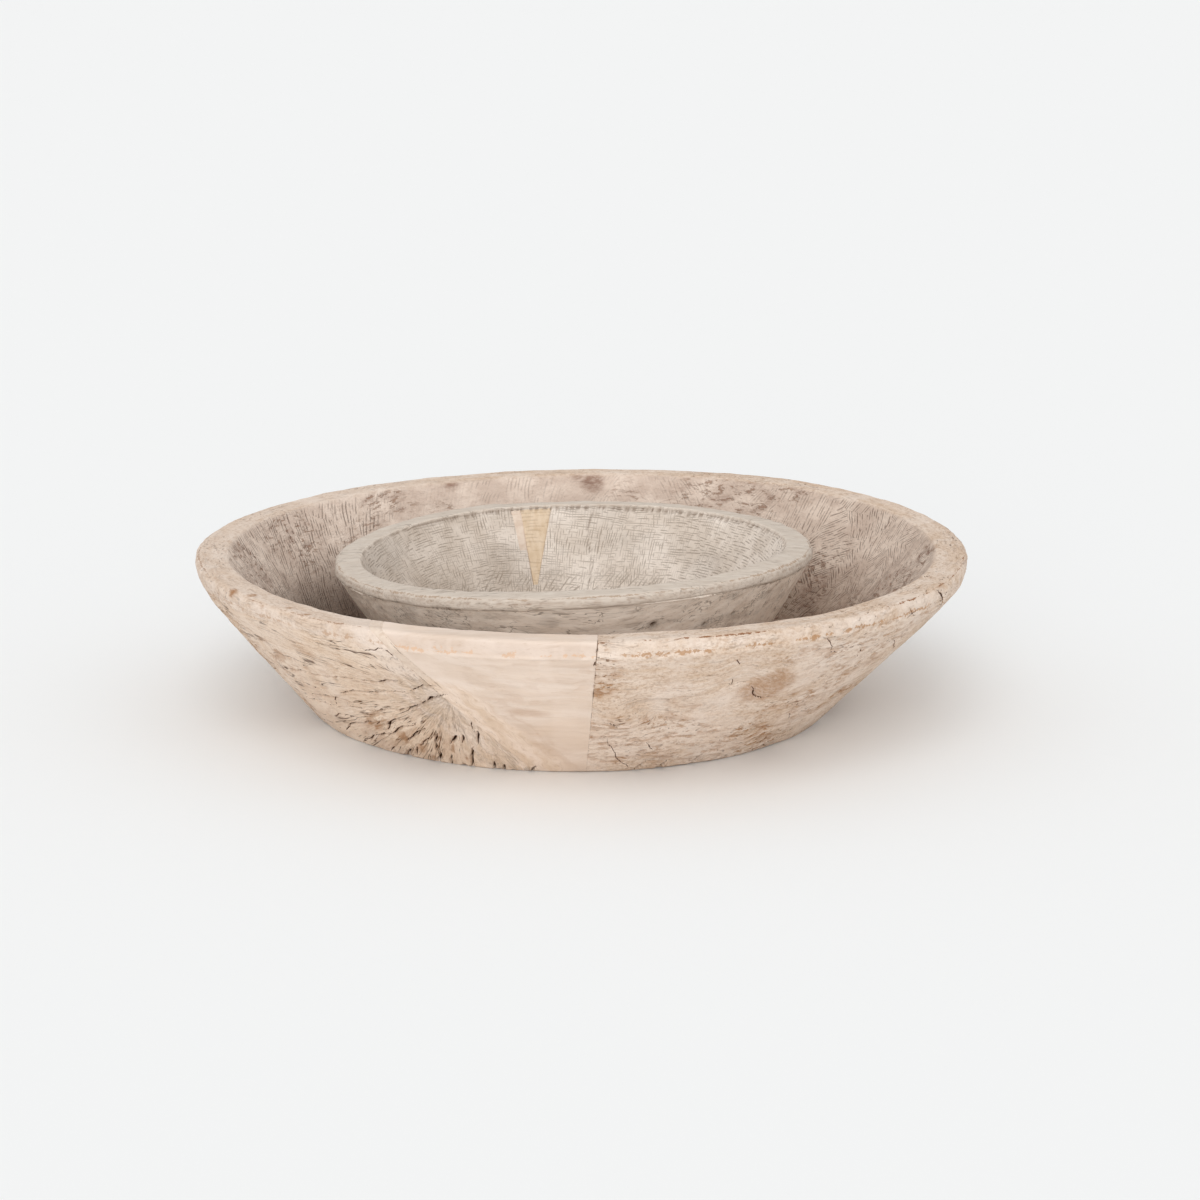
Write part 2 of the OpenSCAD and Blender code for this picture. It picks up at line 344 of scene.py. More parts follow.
for k in range(40):
    turn, rise, reach = chance.uniform(-20, 198), chance.uniform(4, 90), chance.uniform(3, 12)
    slope = chance.uniform(-4, 6)
    splits.append((turn, rise, turn + reach, rise + slope, chance.uniform(-2, 2), chance.uniform(0.6, 1.4)))
for turn in chance.uniform(-50, 230, 26):
    end = (turn + chance.uniform(-0.6, 0.6), chance.uniform(3, 9))
    splits.append((turn, 0, *end, 0, chance.uniform(1.0, 2.0)))

# A split on the rim is shallow, and one that starts at the foot is widest there.
wall_share = 0.0022
rim_share = 0.0006
rim_rise = 93
shaken = (large_places + shake).reshape(-1, 3)
flat_facing = large_facing.reshape(-1, 3)
outer_rows = (run > large_at[1]) & (run < large_hollow)
outer_spots = np.flatnonzero(np.broadcast_to(outer_rows, z.shape))
outer_shaken = shaken[outer_spots]
cut = np.zeros(z.size)
split_gap = np.full(z.size, 9.0)
split_half = np.zeros(z.size)
for from_turn, from_rise, to_turn, to_rise, sag, width in splits:
    path = wall_path(from_turn, from_rise, to_turn, to_rise, sag)
    close = (outer_shaken > path.min(axis=0) - 0.005) & (outer_shaken < path.max(axis=0) + 0.005)
    spots = outer_spots[np.all(close, axis=1)]
    gap, side, part = near_path(shaken[spots], flat_facing[spots], path)
    gap = gap * 1000.0
    taper = np.sqrt(np.clip(4.0 * part * (1.0 - part), 0.0, 1.0)) if from_rise else 1.0 - part ** 2
    half = (0.46 * width + 0.06) * taper
    closer = gap < np.abs(split_gap[spots])
    split_gap[spots] = np.where(closer, gap * side, split_gap[spots])
    split_half[spots] = np.where(closer, half * ease(2.8, 1.8, gap), split_half[spots])
    deep = width * (rim_share if min(from_rise, to_rise) > rim_rise else wall_share)
    deep = deep * ease(1.5, 0.2, gap / np.maximum(half, 0.05)) * ease(0.0, 0.25, half)
    cut[spots] = np.maximum(cut[spots], deep)
depth = depth - cut.reshape(z.shape)
split_gap = split_gap.reshape(z.shape)
split_half = split_half.reshape(z.shape)


def away_from(spot, ragged, stretch=(1.0, 1.0, 1.0)):
    """Distance of each place of the large bowl from a spot, with a ragged edge, in lengths that a stretch
    along each axis shortens."""
    return np.linalg.norm((large_places + ragged * shake - spot) / np.array(stretch), axis=2)


# Brown marks, which are knots, stains, a streak and pits, and pale worn places.
knot = ease(0.026, 0.016, away_from(wall_path(-60, 66, -60, 66)[0], 1.6, (1.0, 1.0, 0.72))) * on_wall
stains = np.zeros(z.shape)
for knot_x, knot_y, knot_z, size in (
    (0.007, 0.251, 0.105, 0.011), (-0.005, 0.256, 0.111, 0.005), (-0.105, 0.231, 0.109, 0.006),
):
    gap = away_from(np.array([knot_x, knot_y, knot_z]), 1.0)
    stains = np.maximum(stains, ease(size, 0.6 * size, gap) * in_hollow)
for turn, out, size in (
    (-151.4, 0.2746, 0.0036), (-147.1, 0.2688, 0.0032), (-142.5, 0.2785, 0.0026),
    (-138.0, 0.2677, 0.0026), (-133.3, 0.2692, 0.0024), (-128.0, 0.2790, 0.0026),
):
    turn = np.radians(turn)
    gap = away_from(np.array([out * np.cos(turn), out * np.sin(turn), large_height]), 0.8)
    stains = np.maximum(stains, 1.3 * ease(1.4 * size, 0.7 * size, gap))
streak = ease(0.008, 0.003, away_from(wall_path(-98, 54, -98, 54)[0], 0.6, (2.6, 1.0, 0.8))) * on_wall
brown = 0.6 * knot + 0.85 * stains + 0.55 * streak + pits * (0.50 * on_wall + 0.35 * in_hollow)
brown = brown + on_wall * 0.34 * ease(0.54, 0.70, grain) * weather
fan_patches = clouds(fan_turn * 9.0, fan_away / 0.035, 1.5, 85)
brown = brown + in_fan * 0.16 * ease(0.44, 0.66, fan_patches) * ease(0.095, 0.07, z)
pale = on_band * 0.6 * ease(0.42, 0.60, round_rim(large_angle, 30.0, run / 0.02, 81))
worn_slice = -8.75
worn_wall = clouds(worn_slice, large_flow[..., 1] / 0.03, large_flow[..., 2] / 0.03, 91)
pale = pale + on_wall * 0.55 * ease(0.48, 0.66, worn_wall)

# Chalk beside the patch's left seam, by the distance across the slanted seam and the way along it.
seam_across = 0.733
seam_down = 0.68
seam_gap = seam_across * (x + 0.034 + 0.955 * z) + 1.4 * (shake[..., 0] + wander)
seam_along = x * seam_down - z * seam_across
smeared = ease(0.022, 0.006, np.abs(seam_gap)) * outer_front
pale = pale + 0.8 * smeared * ease(0.002, 0.03, z)
brushed = ease(0.040, 0.010, np.abs(seam_gap)) * ease(0.072, 0.045, z) * (y < 0.0) * on_wall
streaks = clouds(seam_gap / 0.0045, seam_along / 0.030, 0.5, 87)
brown = brown * (1.0 - 0.7 * smeared) + 0.55 * brushed * ease(0.54, 0.70, streaks)
smear = ease(0.034, 0.010, np.abs(seam_gap + 0.004)) * ease(0.088, 0.062, z) * outer_front
smear = np.maximum(smear, 0.8 * ease(0.034, 0.012, fan_away) * in_fan)

# The worn and flaking band, the strokes in the hollow, and a fine groove at each glued seam.
worn = round_rim(large_angle, 22.0, run / 0.007, 93)
depth = depth + 0.0018 * (worn - 0.5) * (on_band + 0.5 * on_land)
right_side = ease(-95.0, -75.0, degrees) * ease(60.0, 10.0, degrees)
flakes = ease(0.58, 0.66, round_rim(large_angle, 60.0, run / 0.0035, 94, 2)) * on_band * right_side
depth = depth - 0.0006 * flakes
depth = depth + in_hollow * (1.0 - on_floor) * 0.0013 * (lumps(large_places, 0.016, 95, 2) - 0.5)
rows = np.arange(len(large_r))[:, None]
in_cut = (rows >= cut_low) & (rows <= cut_high)
groove = np.zeros(large_angle.shape[1])
groove[[0, putty_column, patch_column]] = 1.0
depth = depth * (1.0 - on_foot) * (1.0 - on_floor) - 0.0003 * groove * in_cut * ease(0.02, 0.07, z)
dashes = ease(0.34, 0.60, clouds(run / 0.014, 0.5, 0.5, 97, 2))
on_seam = np.zeros(z.shape)
for offset, half in (
    (x - patch_right(z), 0.06 + 0.40 * dashes * ease(0.040, 0.075, z)),
    (seam_across * (x - patch_left(z)), 0.34 * dashes * ease(0.070, 0.090, z) * ease(0.108, 0.098, z)),
):
    gap = np.abs(offset) * 1000.0
    closer = (gap < np.minimum(np.abs(split_gap), 3.0)) & (y < 0.0) & in_cut
    split_gap = np.where(closer, offset * 1000.0, split_gap)
    split_half = np.where(closer, half * ease(2.8, 1.8, gap), split_half)
    on_seam = np.where(closer, 1.0, on_seam)

# Bend the grid: the depth, the edge that wear has rounded in and up, and the warp of the rim in millimetres.
large_places = large_places + large_facing * depth[..., None]
worn_way = np.stack([-0.93 * np.cos(large_angle), -0.93 * np.sin(large_angle), np.full_like(z, 0.36)], axis=2)
large_places = large_places + worn_way * soften[..., None]
large_places[..., 2] = np.maximum(large_places[..., 2], 0.0)
warp = 1.1 + 1.1 * np.cos(large_angle) - 1.2 * np.sin(large_angle) - 0.4 * np.cos(2.0 * large_angle)
warp = warp - 0.7 * np.cos(3.0 * large_angle) + 0.4 * np.sin(3.0 * large_angle)
large_places[..., 2] += 0.001 * warp * ease(0.03, large_height, large_places[..., 2])


def grid_index(rows, columns):
    """Point numbers of a grid whose first and last rows are single points, the poles."""
    index = 1 + np.arange(rows - 2)[:, None] * columns + np.arange(columns)
    low = np.zeros((1, columns), int)
    return np.concatenate([low, index, low + 1 + (rows - 2) * columns])


def grid_points(values):
    """Values of a grid in the order of grid_index, with one value for each pole."""
    return np.concatenate([values[0, :1], values[1:-1].reshape(-1, values.shape[2]), values[-1, :1]])


def cell_faces(index, kept):
    """Two triangles for each kept cell of a grid that closes on itself, facing outwards. A triangle with
    the same point twice, at a pole, is left out."""
    beside = np.roll(index, -1, axis=1)
    a, b, c, d = index[:-1][kept], beside[:-1][kept], beside[1:][kept], index[1:][kept]
    faces = np.concatenate([np.stack([a, b, c], axis=1), np.stack([a, c, d], axis=1)])
    good = (faces[:, 0] != faces[:, 1]) & (faces[:, 1] != faces[:, 2]) & (faces[:, 2] != faces[:, 0])
    return faces[good]


def cut_side(index, column, low, high):
    """Triangles across the wall's thickness at one column: the outside run and the inside run are
    zipped together from the foot up to the rim."""
    top = (low + high) // 2
    outer = index[low:top + 1, column]
    inner = index[top:high + 1, column][::-1]
    steps = [np.arange(1, len(edge)) / (len(edge) - 1.0) for edge in (outer, inner)]
    order = np.argsort(np.concatenate(steps), kind="stable")
    is_outer = order < len(outer) - 1
    i, j = np.cumsum(is_outer), np.cumsum(~is_outer)
    first = np.where(is_outer, outer[np.maximum(i - 1, 0)], inner[j])
    second = np.where(is_outer, outer[i], inner[np.maximum(j - 1, 0)])
    third = np.where(is_outer, inner[j], outer[i])
    faces = np.stack([first, second, third], axis=1)
    good = (first != second) & (second != third) & (third != first)
    return faces[good]


def cut_block(index, start, stop, low, high):
    """Closing faces of a block cut right through the wall between two columns: both cut sides and the
    face at its back, pointing out of the block."""
    columns = np.arange(start, stop + 1) % index.shape[1]
    a, b = index[low, columns[:-1]], index[low, columns[1:]]
    c, d = index[high, columns[1:]], index[high, columns[:-1]]
    back = np.concatenate([np.stack([a, c, b], axis=1), np.stack([a, d, c], axis=1)])
    left = cut_side(index, columns[0], low, high)
    right = cut_side(index, columns[-1], low, high)[:, ::-1]
    return np.concatenate([back, left, right])


def make_piece(name, points, faces, looks, most, kept=None):
    """A mesh object from points, triangles and named vectors at the points, thinned to at most so many
    triangles, least of all at the kept points, with smooth faces and sharp edges above 52 degrees."""
    used, faces = np.unique(faces, return_inverse=True)
    faces = faces.reshape(-1, 3)
    mesh = bpy.data.meshes.new(name)
    mesh.vertices.add(len(used))
    mesh.vertices.foreach_set("co", points[used].ravel())
    mesh.loops.add(faces.size)
    mesh.loops.foreach_set("vertex_index", faces.ravel())
    mesh.polygons.add(len(faces))
    mesh.polygons.foreach_set("loop_start", np.arange(0, faces.size, 3))
    for look, values in looks.items():
        layer = mesh.attributes.new(look, "FLOAT_VECTOR", "POINT")
        layer.data.foreach_set("vector", values[used].ravel())
    mesh.update(calc_edges=True)
    piece = bpy.data.objects.new(name, mesh)
    bpy.context.collection.objects.link(piece)
    if len(faces) > most:
        thin = piece.modifiers.new("thin", "DECIMATE")
        thin.ratio = most / len(faces)
        if kept is not None:
            loose = piece.vertex_groups.new(name="loose")
            loose.add(np.flatnonzero(~kept[used]).tolist(), 1.0, "REPLACE")
            loose.add(np.flatnonzero(kept[used]).tolist(), 0.05, "REPLACE")
            thin.vertex_group = "loose"
        graph = bpy.context.evaluated_depsgraph_get()
        ready = piece.evaluated_get(graph)
        mesh = bpy.data.meshes.new_from_object(ready, preserve_all_data_layers=True, depsgraph=graph)
        piece.modifiers.clear()
        piece.data = mesh
        mesh.name = name
    mesh.polygons.foreach_set("use_smooth", np.ones(len(mesh.polygons), bool))
    mesh.set_sharp_from_angle(angle=np.radians(52.0))
    return piece


large_index = grid_index(*large_angle.shape)
large_points = grid_points(large_places)
large_looks = {
    "marks": np.clip(np.stack([brown, pale, np.where(on_bowl, in_fan, brushed)], axis=2), 0.0, 1.0),
    "flow": large_flow,
    "split": np.stack([split_gap, split_half, on_seam], axis=2),
    "zone": np.stack(np.broadcast_arrays(in_hollow, run, weather), axis=2),
    "smear": np.stack([smear, seam_gap, seam_along], axis=2),
}
large_looks = {name: grid_points(values) for name, values in large_looks.items()}
row_number = np.arange(len(large_r) - 1)[:, None]
column_number = np.arange(large_angle.shape[1])
cut_rows = (row_number >= cut_low) & (row_number < cut_high)
large_faces = np.concatenate([
    cell_faces(large_index, ~(cut_rows & (column_number >= putty_column))),
    cut_block(large_index, putty_column, large_angle.shape[1], cut_low, cut_high)[:, ::-1],
])
beside_split = large_looks["split"][:, 1] > 0.12
large_bowl = make_piece(
    "large_bowl_wood", large_points, large_faces, large_looks, most=190000, kept=beside_split)


def put(kind, sockets, tree=None, **settings):
    """A shader node with its settings, and each socket either linked or set to a value. It joins the given
    tree, or else the tree of a socket that it is linked to."""
    linked = [value for value in sockets.values() if isinstance(value, bpy.types.NodeSocket)]
    tree = tree or linked[0].id_data
    node = tree.nodes.new(kind)
    for key, value in settings.items():
        setattr(node, key, value)
    for key, value in sockets.items():
        if isinstance(value, bpy.types.NodeSocket):
            tree.links.new(value, node.inputs[key])
        else:
            node.inputs[key].default_value = value
    return node


def work(operation, first, second=0.0, third=0.0):
    """One sum on numbers."""
    return put("ShaderNodeMath", {0: first, 1: second, 2: third}, operation=operation).outputs[0]


def times(first, second):
    """Two numbers multiplied."""
    return work("MULTIPLY", first, second)


def plus(first, second):
    """Two numbers added."""
    return work("ADD", first, second)


def scaled(value, factor, offset):
    """A number multiplied by a factor and moved by an offset."""
    return work("MULTIPLY_ADD", value, factor, offset)


def fade(value, low, high, least=0.0, most=1.0):
    """A value turned into a smooth step between low and high."""
    sockets = {"Value": value, "From Min": low, "From Max": high, "To Min": least, "To Max": most}
    return put("ShaderNodeMapRange", sockets, interpolation_type="SMOOTHSTEP").outputs[0]


def mix(factor, first, second):
    """Two numbers mixed by a factor."""
    return put("ShaderNodeMix", {0: factor, 2: first, 3: second}).outputs[0]


def linear(tone):
    """A screen colour from 0 to 255 as the linear colour that a shader takes."""
    part = np.array(tone) / 255.0
    return (*np.where(part <= 0.04045, part / 12.92, ((part + 0.055) / 1.055) ** 2.4).tolist(), 1.0)


def blend(factor, under, over, kind="MIX"):
    """Two colours mixed by a factor. Each is a socket or a screen colour."""
    under, over = (linear(tone) if isinstance(tone, tuple) else tone for tone in (under, over))
    return put("ShaderNodeMix", {0: factor, 6: under, 7: over}, data_type="RGBA", blend_type=kind).outputs[2]


def coats(wood, *layers):
    """A colour with others laid over it in turn, each by its own share and, if it says so, in its own way."""
    for share, tone, *kind in layers:
        wood = blend(share, wood, tone, *kind)
    return wood


def noise(vector, scale, detail, coarseness=0.5):
    """Noise of so many grains to a metre, from 0 to 1."""
    sockets = {"Vector": vector, "Scale": scale, "Detail": detail, "Roughness": coarseness}
    return put("ShaderNodeTexNoise", sockets).outputs[0]


def fibres(vector, stretch, detail, coarseness):
    """Noise stretched by a scale along each axis, from 0 to 1."""
    longer = put("ShaderNodeMapping", {"Vector": vector, "Scale": stretch}).outputs[0]
    return noise(longer, 1.0, detail, coarseness)


def carried(tree, name):
    """A named vector that the mesh carries at its points."""
    return put("ShaderNodeAttribute", {}, tree, attribute_name=name).outputs["Vector"]


def axes(vector):
    """The three numbers of a vector."""
    return tuple(put("ShaderNodeSeparateXYZ", {0: vector}).outputs)


def new_finish(name):
    """An empty material, its tree and its Object coordinates."""
    material = bpy.data.materials.new(name)
    material.use_nodes = True
    tree = material.node_tree
    return material, tree, put("ShaderNodeTexCoord", {}, tree).outputs["Object"]


def complete(material, surface, roughness, shine, relief, strength, distance):
    """The material's shader with its colour, roughness and shine, and with a bump of the given height."""
    tree = material.node_tree
    shader = tree.nodes["Principled BSDF"]
    shader.inputs["Roughness"].default_value = roughness
    shader.inputs["Specular IOR Level"].default_value = shine
    bump = put("ShaderNodeBump", {"Height": relief, "Strength": strength, "Distance": distance}).outputs[0]
    tree.links.new(surface, shader.inputs["Base Color"])
    tree.links.new(bump, shader.inputs["Normal"])


def hatching(place, run, reach, floor_edge, angle_from, angle_to, patch, pitch):
    """Scraper strokes in a hollow. On the wall they use the angle round the axis times reach, and the length
    down the wall; on the floor, inside floor_edge, they use X and Y. These two lengths are turned by an angle
    that each cell of a mosaic picks. A sine across the turned lines gives strokes a pitch apart, which noise
    bends and breaks up. Returns 1 in a stroke and 0 beside it."""
    x, y = axes(place)[:2]
    turn = work("ARCTAN2", x, y)
    away = work("SQRT", plus(work("POWER", x, 2.0), work("POWER", y, 2.0)))
    on_floor = work("LESS_THAN", away, floor_edge)
    at_edge = work("ABSOLUTE", work("SUBTRACT", away, floor_edge))
    round_way = mix(on_floor, times(turn, reach), x)
    run = mix(on_floor, run, y)
    cells = put("ShaderNodeTexVoronoi", {"Vector": place, "Scale": patch, "Randomness": 1.0})
    pick = put("ShaderNodeSeparateColor", {0: cells.outputs["Color"]}).outputs
    angle = put("ShaderNodeMapRange", {"Value": pick[0], "To Min": angle_from, "To Max": angle_to}).outputs[0]
    sine = work("SINE", angle)
    cosine = work("COSINE", angle)
    across = plus(times(round_way, cosine), times(run, sine))
    along = work("SUBTRACT", times(run, cosine), times(round_way, sine))
    across = work("DIVIDE", across, pitch)
    vector = put("ShaderNodeCombineXYZ", {
        0: across, 1: work("DIVIDE", along, 3.0 * pitch), 2: times(pick[1], 40.0)}).outputs[0]
    lines = plus(across, times(noise(vector, 0.2, 2.0), 3.0))
    wave = work("SINE", times(lines, 2.0 * np.pi))
    broken = times(fade(noise(vector, 0.8, 2.0), 0.42, 0.58), fade(at_edge, 0.0, 0.006))
    return times(fade(wave, 0.0, 0.9), broken)


def draw_splits(tree, place, wood, inner, seam):
    """The wood's colour with its splits and seams drawn in: a place is in a split where its roughened
    distance to the middle line is under the half width."""
    gap, half, on_seam = axes(carried(tree, "split"))
    gap = plus(work("ABSOLUTE", gap), scaled(noise(place, 900.0, 2.0), 0.36, -0.18))
    inside_split = fade(work("DIVIDE", gap, work("MAXIMUM", half, 0.001)), 1.05, 0.55)
    return blend(inside_split, wood, blend(on_seam, inner, seam))


def hair_lines(flow, stretch, breaks, width):
    """Fine broken lines along the grain, where stretched noise passes its middle value."""
    wave = work("ABSOLUTE", work("SUBTRACT", fibres(flow, stretch, 2.0, 0.5), 0.5))
    broken = fade(fibres(flow, breaks, 2.0, 0.5), 0.50, 0.60)
    return times(fade(wave, width, 0.3 * width), broken)


def rim_line(place, run, at, width, patches):
    """A thin, ragged and broken line round the rim at one length along the section."""
    off = plus(work("SUBTRACT", run, at), scaled(noise(place, 60.0, 3.0), 0.004, -0.002))
    wide = times(fade(noise(place, 380.0, 3.0, 0.7), 0.38, 0.62), width)
    wide = times(wide, fade(noise(place, patches, 6.0, 0.7), 0.48, 0.60))
    return fade(work("DIVIDE", work("ABSOLUTE", off), work("MAXIMUM", wide, 0.00001)), 1.3, 0.6)


def smear_over(tree, wood):
    """The wood's colour with the chalky smear beside the patch's left seam laid over it: the same tone and
    the same streaks along the seam on the old wood, the putty and the patch."""
    chalk = (234, 215, 199)
    chalk_shade = (218, 194, 171)
    chalk_streak = (186, 158, 133)
    way = carried(tree, "smear")
    thin = fibres(way, (0.0, 170.0, 34.0), 5.0, 0.66)
    fine = fibres(way, (0.0, 520.0, 150.0), 3.0, 0.66)
    tone = coats(
        chalk,
        (fade(thin, 0.36, 0.64), chalk_shade),
        (fade(fine, 0.50, 0.66, 0.0, 0.4), chalk_streak),
    )
    amount = scaled(work("SUBTRACT", thin, 0.5), 1.2, axes(way)[0])
    return blend(fade(amount, 0.25, 0.75, 0.0, 0.9), wood, tone)


# Colours of the old wood outside, of its hollow, of its wear, stains and splits, and of painted light and
# shade.
bleached = (230, 212, 196)
grain_tone = (216, 192, 170)
fine_tone = (184, 152, 124)
stipple_tone = (176, 144, 117)
blotch_tone = (233, 217, 203)
speck_tone = (174, 129, 89)
dot_tone = (112, 80, 56)
fan_tone_and_painted_light = (238, 215, 192)
hair_tone = (98, 70, 50)
hollow_tone = (208, 188, 173)
hollow_blotch = (229, 211, 196)
hollow_fine = (176, 150, 132)
hollow_speck = (146, 112, 90)
stroke_tone = (100, 79, 67)
# Painted shade in the hollow: a little on its right side, and more towards the floor, darker on the left.
right_shade = (246, 245, 244)
left_floor_painted_shade = (152, 146, 142)
right_floor_painted_shade = (212, 206, 201)
wear_tone = (236, 220, 207)
# Painted light that lifts the left side of the rim.
left_rim_painted_light = (232, 217, 205)
brown_tone = (168, 126, 92)
hollow_brown = (136, 104, 88)
rim_shade = (251, 251, 251)
high_stain = (150, 108, 78)
low_stain = (178, 134, 94)
split_tone = (74, 42, 24)
seam_tone = (134, 112, 96)

# The outside has grain, stipple, chalky blotches, brown specks, dark dots and hair cracks, and a paler fan
# whose paleness grows towards the foot as painted light.
large_finish, tree, place = new_finish("large_wood")
x_place, y_place, height = axes(place)
brown, pale, in_fan = axes(carried(tree, "marks"))
inside, run, weather = axes(carried(tree, "zone"))
flow = carried(tree, "flow")
grain = fibres(flow, (130.0, 15.0, 15.0), 6.0, 0.66)
fine_long = fibres(flow, (430.0, 62.0, 62.0), 4.0, 0.66)
fine_short = fibres(flow, (460.0, 190.0, 190.0), 4.0, 0.70)
fine = mix(in_fan, fine_short, fine_long)
specks = fibres(flow, (330.0, 120.0, 120.0), 4.0, 0.68)
shifted = put("ShaderNodeVectorMath", {0: flow, 1: (0.7, 0.4, 0.2)}).outputs[0]
dots = fibres(shifted, (420.0, 230.0, 230.0), 2.0, 0.6)
blotch = noise(place, 34.0, 6.0, 0.62)
stipple = noise(place, 400.0, 3.0, 0.65)
on_rim = times(fade(run, large_lip, large_lip + 0.004), fade(run, large_hollow + 0.004, large_hollow))
hairs = hair_lines(flow, (260.0, 22.0, 22.0), (90.0, 40.0, 40.0), 0.026)
hair_part = times(in_fan, fade(axes(flow)[2], -0.288, -0.262, 0.0, 0.80))
hairs = times(hairs, plus(hair_part, 0.26))
speck_part = work("MAXIMUM", times(weather, 0.88), scaled(in_fan, 0.45, 0.08))
speck = times(fade(specks, 0.54, 0.62), times(speck_part, scaled(on_rim, -0.65, 1.0)))
dot = times(fade(dots, 0.63, 0.69), scaled(weather, 0.6, 0.25))
outside = coats(
    bleached,
    (fade(grain, 0.34, 0.66), grain_tone),
    (fade(fine, 0.50, 0.62, 0.0, 0.50), fine_tone),
    (fade(stipple, 0.50, 0.62, 0.0, 0.36), stipple_tone),
    (fade(blotch, 0.48, 0.64, 0.0, 0.6), blotch_tone),
    (speck, speck_tone),
    (dot, dot_tone),
    (times(in_fan, fade(height, 0.055, 0.012, 0.44, 0.66)), fan_tone_and_painted_light),
    (hairs, hair_tone),
)

# The hollow: scraper strokes all over, fewer on the back wall, painted shade on its right side, and painted
# shade towards the floor, darker on the left.
large_reach = 0.22
large_floor_edge = 0.165
strokes_left = hatching(place, run, large_reach, large_floor_edge, 0.15, 0.65, patch=14.0, pitch=0.0026)
strokes_right = hatching(place, run, large_reach, large_floor_edge, -1.0, 1.2, patch=36.0, pitch=0.0023)
strokes = mix(fade(x_place, -0.06, 0.04), strokes_left, strokes_right)
stroke_part = fade(noise(place, 22.0, 4.0, 0.6), 0.44, 0.60, 0.25, 1.0)
stroke_part = work("MAXIMUM", stroke_part, fade(x_place, -0.10, -0.20, 0.0, 0.85))
stroke_part = work("MAXIMUM", stroke_part, fade(x_place, 0.08, 0.17, 0.0, 0.85))
stroke_part = times(stroke_part, fade(y_place, 0.13, 0.22, 1.0, 0.42))
stroke_dark = times(strokes, times(inside, stroke_part))
hollow = coats(
    hollow_tone,
    (fade(blotch, 0.38, 0.64), hollow_blotch),
    (fade(fine, 0.50, 0.70, 0.0, 0.30), hollow_fine),
    (times(speck, 0.8), hollow_speck),
    (times(stroke_dark, 0.70), stroke_tone),
    (fade(x_place, 0.02, 0.14), right_shade, "MULTIPLY"),
    (fade(height, 0.088, 0.042), blend(fade(x_place, -0.05, 0.10), left_floor_painted_shade, right_floor_painted_shade), "MULTIPLY"),
)

# Over both: pale wear, painted light on the left of the rim, brown stains, a little painted shade over the
# rim, two stained lines round the rim, the chalk and the splits.
right_rim = fade(x_place, -0.06, 0.06, 0.60, 1.0)
high_line = rim_line(place, run, large_land + 0.0015, 0.0013, 16.0)
low_line = rim_line(place, run, large_band + 0.0026, 0.0034, 26.0)
wood = coats(
    outside,
    (inside, hollow),
    (times(pale, 0.7), wear_tone),
    (times(on_rim, fade(x_place, -0.06, -0.13, 0.0, 0.22)), left_rim_painted_light),
    (times(brown, fade(fine, 0.30, 0.60, 0.45, 1.0)), blend(inside, brown_tone, hollow_brown)),
    (on_rim, rim_shade, "MULTIPLY"),
    (times(high_line, right_rim), high_stain),
    (times(low_line, times(right_rim, 0.75)), low_stain),
)
wood = smear_over(tree, wood)
wood = draw_splits(tree, place, wood, split_tone, seam_tone)
relief = plus(times(grain, -0.5), times(stipple, -0.8))
for part, strength in ((fine, 0.5), (stroke_dark, 0.3), (hairs, 0.5), (plus(speck, dot), 0.3)):
    relief = work("SUBTRACT", relief, times(part, strength))
complete(large_finish, wood, 0.84, 0.12, relief, strength=0.8, distance=0.0016)
large_bowl.data.materials.append(large_finish)
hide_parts("large_bowl")
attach(large_bowl, "large")

# Patch
# A straight-grained piece of new pale wood, let into a break in the front wall right through the rim.
# It was glued in and then carved flush, so it carries the bowl's wall, band and hollow on smoothly.
patch_faces = np.concatenate([
    cell_faces(large_index, cut_rows & (column_number >= patch_column)),
    cut_block(large_index, patch_column, large_angle.shape[1], cut_low, cut_high),
])
patch = make_piece("large_bowl_patch_wood", large_points, patch_faces, large_looks, most=60000)


def wavering(place):
    """A place that noise pushes by a few millimetres, so that straight grain wanders."""
    push = put("ShaderNodeTexNoise", {"Vector": place, "Scale": 17.0, "Detail": 3.0}).outputs[1]
    sockets = {0: push, 1: (0.016, 0.016, 0.016), 2: place}
    return put("ShaderNodeVectorMath", sockets, operation="MULTIPLY_ADD").outputs[0]


patch_pale = (228, 211, 197)
patch_grain = (218, 198, 181)
patch_blotch = (224, 201, 180)
patch_fine = (192, 164, 140)
patch_old = (206, 182, 161)
patch_brown = (180, 142, 110)
patch_worn = (241, 224, 210)
# Painted shade that darkens the band on the patch.
patch_band_painted_shade = (240, 238, 237)
patch_stain = (214, 168, 126)
# Painted shade on the patch's inside, darker towards the floor.
patch_floor_painted_shade = (160, 139, 124)
patch_split = (96, 74, 58)
patch_seam = (140, 118, 102)
patch_finish, tree, place = new_finish("patch_wood")
warped = wavering(place)
height = axes(place)[2]
brown, pale, brushed = axes(carried(tree, "marks"))
inside, run = axes(carried(tree, "zone"))[:2]
long_grain = fibres(warped, (5.0, 90.0, 90.0), 4.0, 0.55)
fine_grain = fibres(warped, (30.0, 900.0, 900.0), 3.0, 0.6)
blotch = fibres(place, (16.0, 30.0, 30.0), 4.0, 0.55)
old = times(fade(height, 0.060, 0.018), fade(blotch, 0.36, 0.56, 0.35, 1.0))
old = work("MAXIMUM", old, times(brushed, fade(blotch, 0.34, 0.60, 0.4, 1.2)))
on_band = times(fade(run, large_lip, large_lip + 0.004), fade(run, large_land + 0.001, large_land - 0.002))
low_line = rim_line(place, run, large_band + 0.0020, 0.0040, 40.0)
